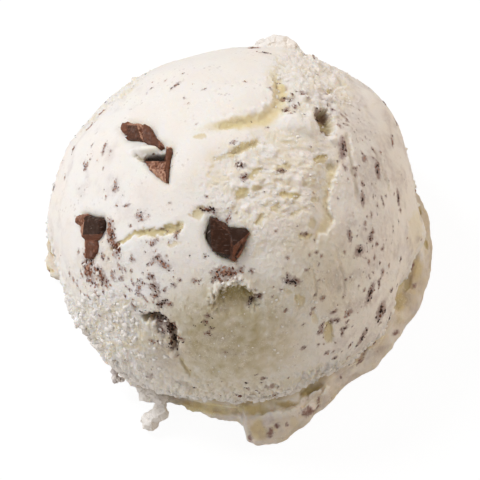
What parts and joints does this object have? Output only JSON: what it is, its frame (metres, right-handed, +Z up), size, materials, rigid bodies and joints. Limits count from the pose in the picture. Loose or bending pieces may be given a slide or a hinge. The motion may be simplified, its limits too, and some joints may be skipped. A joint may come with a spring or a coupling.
{
  "type": "scoop of ice cream",
  "caption": "Domed scoop of pale ice cream with dark chocolate chunks and flecks, its ragged rim above a spread skirt, resting on a flat base.",
  "frame": {"origin": "middle of the footprint's box, on the flat underside that the scoop rests on", "axes": "+Z up through the dome; the side that the picture looks down on is the front, towards -Y"},
  "size_m": [0.0626, 0.0639, 0.0431],
  "materials": {
    "ice_cream": "frozen cream, dull with fine ice sparkle",
    "chocolate": "broken dark chocolate, satin"
  },
  "bodies": {
    "root": {"ice_cream": "ice_cream", "chunk_left_upper": "chocolate", "chunk_left_lower": "chocolate", "chunk_far_left": "chocolate", "chunk_middle": "chocolate", "chunk_back_left": "chocolate", "chunk_back_middle": "chocolate", "chunk_back_right": "chocolate"}
  },
  "joints": []
}
